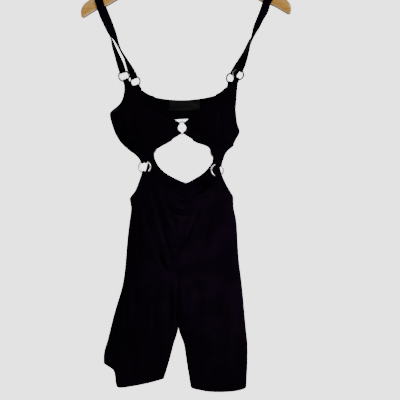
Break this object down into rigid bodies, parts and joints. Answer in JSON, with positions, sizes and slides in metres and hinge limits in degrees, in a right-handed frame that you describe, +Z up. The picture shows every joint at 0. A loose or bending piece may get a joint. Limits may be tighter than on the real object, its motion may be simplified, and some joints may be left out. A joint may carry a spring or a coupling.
{
  "type": "cut-out romper on a wooden hanger",
  "caption": "Sleeveless cut-out jersey romper with close-fitting shorts, joined by metal rings, hung by its straps on a wooden hanger with a wire hook.",
  "frame": {"origin": "inner top of the hanger hook's bend, where a rail carries it", "axes": "+Z up, the garment's front faces -Y, and its arms spread along X with +X to a viewer's right"},
  "size_m": [0.45, 0.0512, 1.009],
  "materials": {
    "jersey": "matte black stretch jersey",
    "label_satin": "black woven satin, bare",
    "ring_metal": "polished nickel plate",
    "hook_steel": "plated wire",
    "hanger_wood": "clear satin varnish"
  },
  "bodies": {
    "root": {"strap_left": "jersey", "strap_right": "jersey", "cup_left": "jersey", "cup_right": "jersey", "back_band": "jersey", "neck_label": "label_satin", "front_left": "jersey", "front_right": "jersey", "back_left": "jersey", "back_right": "jersey", "ring_strap_front_left": "ring_metal", "ring_strap_front_right": "ring_metal", "ring_strap_back_left": "ring_metal", "ring_strap_back_right": "ring_metal", "ring_centre": "ring_metal", "ring_waist_front_left": "ring_metal", "ring_waist_front_right": "ring_metal", "ring_waist_back_left": "ring_metal", "ring_waist_back_right": "ring_metal", "hanger_wood": "hanger_wood", "hanger_hook": "hook_steel"}
  },
  "joints": []
}
